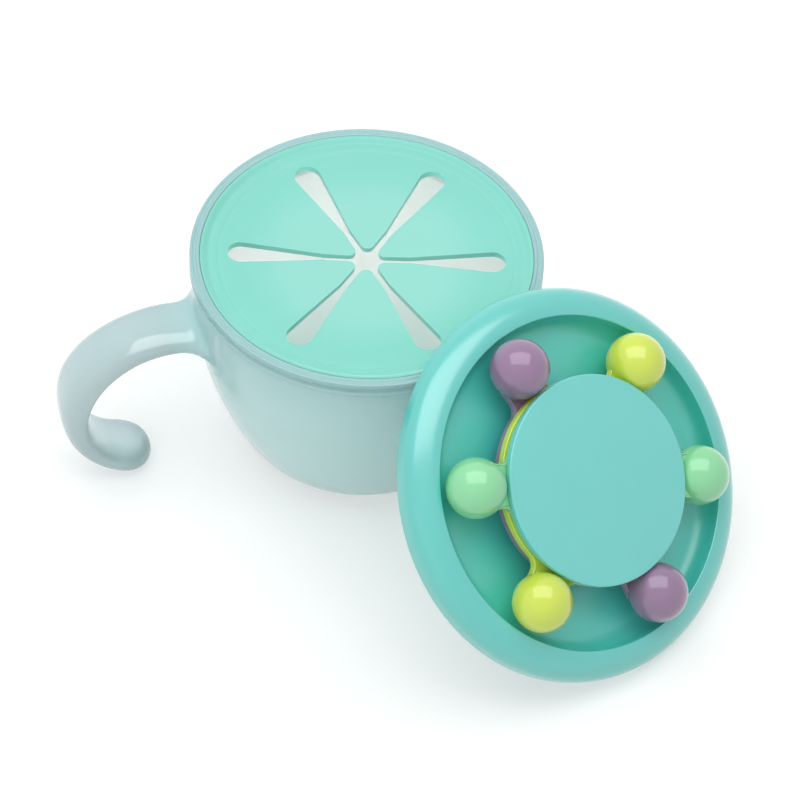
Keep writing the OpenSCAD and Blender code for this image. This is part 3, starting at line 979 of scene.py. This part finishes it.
def make_bead(name, turn):
    """A ball, turned on a lathe's profile, with the faint parting line of its mould."""
    profile = []
    for k in range(1, 64):
        a = math.pi * k / 64 - math.pi / 2
        r = BEAD_R - PARTING_DEEP * math.exp(-((a / PARTING_TURN) ** 2))
        profile.append((r * math.cos(a), r * math.sin(a)))
    profile = [(0, -BEAD_R)] + profile + [(0, BEAD_R)]
    return revolve(name, profile, 128, on_lid(turn, BEAD_ORBIT, BEAD_H))


# Colour, level on the post, radius, turn in degrees, material and slot
SPINNERS = (
    ("purple", 0, LOW_PLATE_R, 2.4, purple, "purple"),
    ("lime", 1, PLATE_R, 119.8, lime, "lime"),
    ("mint", 2, TOP_PLATE_R, 60.5, bead_mint, "bead_mint"),
)
for colour, level, disc_r, turn, mat, slot in SPINNERS:
    dress(make_plate(f"{colour}_plate", level, disc_r, turn), mat, colour, slot, f"spinner_{colour}")
    for j in (1, 2):
        ball = make_bead(f"{colour}_ball_{j}", turn + 180 * (j - 1))
        dress(ball, mat, colour, slot, f"bead_{colour}_{j}")


# The stage: a white floor that keeps the object's shadow, in a white world
def seen_rays(nodes, links):
    """1 for the rays that see the backdrop: the camera's, reflections and those through clear pieces."""
    path = nodes.new("ShaderNodeLightPath")
    total = path.outputs["Is Camera Ray"]
    for kind in ("Is Glossy Ray", "Is Transmission Ray"):
        either = nodes.new("ShaderNodeMath")
        either.operation = "MAXIMUM"
        links.new(total, either.inputs[0])
        links.new(path.outputs[kind], either.inputs[1])
        total = either.outputs[0]
    return total


def stage_material():
    """A matt floor that also glows a little for the rays that see it, and more far from the object."""
    mat = bpy.data.materials.new("white_floor")
    mat.use_nodes = True
    nodes, links = mat.node_tree.nodes, mat.node_tree.links
    bsdf = nodes["Principled BSDF"]
    bsdf.inputs["Base Color"].default_value = STAGE_TONE
    bsdf.inputs["Roughness"].default_value = 0.9
    bsdf.inputs["Specular IOR Level"].default_value = 0.1
    glow = nodes.new("ShaderNodeEmission")
    glow.inputs["Color"].default_value = (1, 1, 1, 1)
    level = nodes.new("ShaderNodeMath")
    level.operation = "MULTIPLY"
    links.new(seen_rays(nodes, links), level.inputs[0])
    links.new(map_range(nodes, links, from_axis(nodes, links), STAGE_GLOW, STAGE_SPAN), level.inputs[1])
    links.new(level.outputs[0], glow.inputs["Strength"])
    total = nodes.new("ShaderNodeAddShader")
    links.new(bsdf.outputs[0], total.inputs[0])
    links.new(glow.outputs[0], total.inputs[1])
    links.new(total.outputs[0], nodes["Material Output"].inputs["Surface"])
    return mat


bm = bmesh.new()
bmesh.ops.create_grid(bm, x_segments=4, y_segments=4, size=STAGE_HALF)
floor = new_object("floor", bm)
floor.data.materials.append(stage_material())

world = bpy.data.worlds.new("studio")
bpy.context.scene.world = world
world.use_nodes = True
wn, wl = world.node_tree.nodes, world.node_tree.links
background = wn["Background"]
background.inputs["Color"].default_value = (1, 1, 1, 1)
wl.new(map_range(wn, wl, seen_rays(wn, wl), WORLD_LIGHT), background.inputs["Strength"])


# The lamps and the camera
def facing(place, right, up, back):
    """A placement from three axes."""
    return Matrix.Translation(place) @ Matrix((right, up, back)).transposed().to_4x4()


def soft_box(name, place, aim, width, height, power):
    """A rectangular lamp that faces a point, with its width along the photograph's view."""
    light = bpy.data.lights.new(name, "AREA")
    light.shape = "RECTANGLE"
    light.size, light.size_y = width, height
    light.energy = power
    obj = in_scene(name, light)
    back = (Vector(place) - Vector(aim)).normalized()
    up = back.cross(Vector((*PHOTO_RIGHT.xy, 0)).normalized()).normalized()
    obj.matrix_world = facing(place, up.cross(back), up, back)
    return obj


soft_box("overhead", (0.0, -0.03, 1.0), (0.02, -0.03, 0.0), 1.3, 0.85, 6.2)
for name, place, power in (
    ("left_fill", (-0.95, -0.1, 0.5), 0.7),
    ("back_fill", (0.1, 1.0, 0.35), 3.6),
    ("front_fill", (-0.6, -0.9, 0.5), 2.8),
):
    fill = soft_box(name, place, (0.0, 0.0, 0.05), 0.9, 0.9, power)
    fill.visible_glossy = False

# A weak lamp in the cup stands in for the light that the cloudy wall scatters inward
glow_light = bpy.data.lights.new("inside_glow", "POINT")
glow_light.shadow_soft_size = 0.012
glow_light.energy = 0.0245
glow_light.color = (1.0, 0.9, 0.9)
glow_lamp = in_scene("inside_glow", glow_light)
glow_lamp.location = (0, 0.012, 0.043)
glow_lamp.visible_camera = False
glow_lamp.visible_glossy = False

camera_data = bpy.data.cameras.new("photo_camera")
camera_data.sensor_fit = "HORIZONTAL"
camera_data.sensor_width = 36.0
camera_data.lens = PHOTO_LENS
camera_data.clip_start = 0.05
camera_data.clip_end = 20.0
camera = in_scene("photo_camera", camera_data)
right = PHOTO_RIGHT.normalized()
up = (PHOTO_UP - right * PHOTO_UP.dot(right)).normalized()
camera.matrix_world = facing(PHOTO_PLACE, right, up, right.cross(up))
bpy.context.scene.camera = camera

bpy.context.scene.view_settings.view_transform = "Standard"
